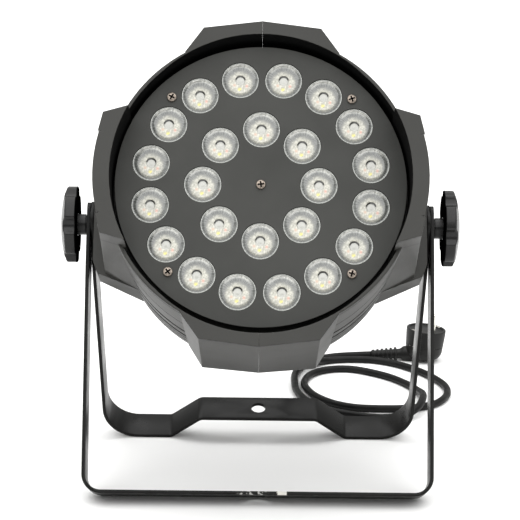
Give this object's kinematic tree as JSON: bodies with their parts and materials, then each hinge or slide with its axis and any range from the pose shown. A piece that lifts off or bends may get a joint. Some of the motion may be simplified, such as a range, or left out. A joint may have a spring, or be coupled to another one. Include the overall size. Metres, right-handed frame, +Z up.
{
  "type": "par can light",
  "caption": "Stage par can light: cast can with a recessed disc of lenses, held by two flat-strap yokes with star knobs, with a rear control panel and a mains lead.",
  "frame": {"origin": "centre of the base, on the surface that both yoke bars stand on, halfway along the depth of the lamp and stand without the lead", "axes": "+Z up, -Y towards the lit face, +X to the right as seen from the front, along the tilt axis"},
  "size_m": [0.3657, 0.5281, 0.4003],
  "materials": {
    "yoke_paint": "satin black powder coat",
    "can_paint": "satin dark grey paint on cast metal",
    "plate_paint": "fine matt dark grey paint",
    "screw_steel": "zinc plated",
    "face_screw_nickel": "dull nickel",
    "board_white": "white solder mask",
    "emitter_yellow": "phosphor and clear dome",
    "lens_clear": "moulded clear acrylic",
    "bare_aluminium": "bare cast",
    "fan_plastic": "moulded",
    "window_tint": "smoked window",
    "button_rubber": "silicone",
    "socket_plastic": "moulded",
    "eye_steel": "black zinc",
    "insert_brass": "turned",
    "knob_plastic": "moulded, slight sheen",
    "cord_rubber": "smooth",
    "plug_rubber": "moulded",
    "pin_nickel": "nickel plated"
  },
  "bodies": {
    "rear_yoke": {"rear_yoke": "yoke_paint", "power_cord": "cord_rubber", "mains_plug": "plug_rubber", "plug_pins": "pin_nickel"},
    "front_yoke": {"front_yoke": "yoke_paint"},
    "head": {"housing_left": "can_paint", "housing_right": "can_paint", "housing_screws": "screw_steel", "face_plate": "plate_paint", "face_screws": "face_screw_nickel", "led_board": "board_white", "led_emitters": "emitter_yellow", "lens_outer_01": "lens_clear", "lens_outer_02": "lens_clear", "lens_outer_03": "lens_clear", "lens_outer_04": "lens_clear", "lens_outer_05": "lens_clear", "lens_outer_06": "lens_clear", "lens_outer_07": "lens_clear", "lens_outer_08": "lens_clear", "lens_outer_09": "lens_clear", "lens_outer_10": "lens_clear", "lens_outer_11": "lens_clear", "lens_outer_12": "lens_clear", "lens_outer_13": "lens_clear", "lens_outer_14": "lens_clear", "lens_outer_15": "lens_clear", "lens_outer_16": "lens_clear", "lens_inner_01": "lens_clear", "lens_inner_02": "lens_clear", "lens_inner_03": "lens_clear", "lens_inner_04": "lens_clear", "lens_inner_05": "lens_clear", "lens_inner_06": "lens_clear", "lens_inner_07": "lens_clear", "lens_inner_08": "lens_clear", "heat_sink": "bare_aluminium", "fan_frame": "fan_plastic", "power_supply": "bare_aluminium", "rear_cover": "can_paint", "rear_screws": "screw_steel", "display_window": "window_tint", "dmx_in": "socket_plastic", "dmx_out": "socket_plastic", "fuse_holder": "socket_plastic", "cable_gland": "socket_plastic", "safety_eye": "eye_steel", "pivot_inserts": "insert_brass"},
    "fan": {"fan_rotor": "fan_plastic"},
    "fuse_cap": {"fuse_cap": "socket_plastic"},
    "left_washer": {"left_washer": "screw_steel"},
    "right_washer": {"right_washer": "screw_steel"},
    "left_knob": {"left_knob": "knob_plastic", "left_stud": "screw_steel"},
    "right_knob": {"right_knob": "knob_plastic", "right_stud": "screw_steel"},
    "button_mode": {"button_mode": "button_rubber"},
    "button_down": {"button_down": "button_rubber"},
    "button_up": {"button_up": "button_rubber"},
    "button_enter": {"button_enter": "button_rubber"}
  },
  "joints": [
    {"name": "head_tilt", "type": "hinge", "parent": "rear_yoke", "child": "head", "pos_m": [0, 0.04256, 0.21594], "axis": [-1, 0, 0], "range_deg": [-118.4, 61.6], "deforming": ["power_cord"]},
    {"name": "front_yoke_swing", "type": "hinge", "parent": "rear_yoke", "child": "front_yoke", "pos_m": [0, 0.04256, 0.21594], "axis": [1, 0, 0], "range_deg": [-154.8, 46.4]},
    {"name": "fan_spin", "type": "hinge", "parent": "head", "child": "fan", "pos_m": [0, 0.00297, 0.23735], "axis": [0, -0.8796, 0.4756], "continuous": true},
    {"name": "fuse_cap_turn", "type": "hinge", "parent": "head", "child": "fuse_cap", "pos_m": [-0.03, 0.06761, 0.13192], "axis": [0, 0.8796, -0.4756], "range_deg": [0, 90]},
    {"name": "left_washer_slide", "type": "slide", "parent": "head", "child": "left_washer", "axis": [-1, 0, 0], "range_m": [0, 0.0025]},
    {"name": "left_knob_turn", "type": "hinge", "parent": "left_washer", "child": "left_knob", "pos_m": [-0.155, 0.04256, 0.21594], "axis": [-1, 0, 0], "range_deg": [0, 720]},
    {"name": "right_washer_slide", "type": "slide", "parent": "head", "child": "right_washer", "axis": [1, 0, 0], "range_m": [0, 0.0025]},
    {"name": "right_knob_turn", "type": "hinge", "parent": "right_washer", "child": "right_knob", "pos_m": [0.155, 0.04256, 0.21594], "axis": [1, 0, 0], "range_deg": [0, 720]},
    {"name": "button_mode_press", "type": "slide", "parent": "head", "child": "button_mode", "axis": [0, -0.8796, 0.4756], "range_m": [0, 0.0008], "stiffness_N_per_m": 300, "springref_m": -0.001},
    {"name": "button_down_press", "type": "slide", "parent": "head", "child": "button_down", "axis": [0, -0.8796, 0.4756], "range_m": [0, 0.0008], "stiffness_N_per_m": 300, "springref_m": -0.001},
    {"name": "button_up_press", "type": "slide", "parent": "head", "child": "button_up", "axis": [0, -0.8796, 0.4756], "range_m": [0, 0.0008], "stiffness_N_per_m": 300, "springref_m": -0.001},
    {"name": "button_enter_press", "type": "slide", "parent": "head", "child": "button_enter", "axis": [0, -0.8796, 0.4756], "range_m": [0, 0.0008], "stiffness_N_per_m": 300, "springref_m": -0.001}
  ],
  "couplings": [
    {"joint": "left_knob_turn", "follows": "left_washer_slide", "rad_per_m": 5026.5},
    {"joint": "right_knob_turn", "follows": "right_washer_slide", "rad_per_m": 5026.5}
  ]
}
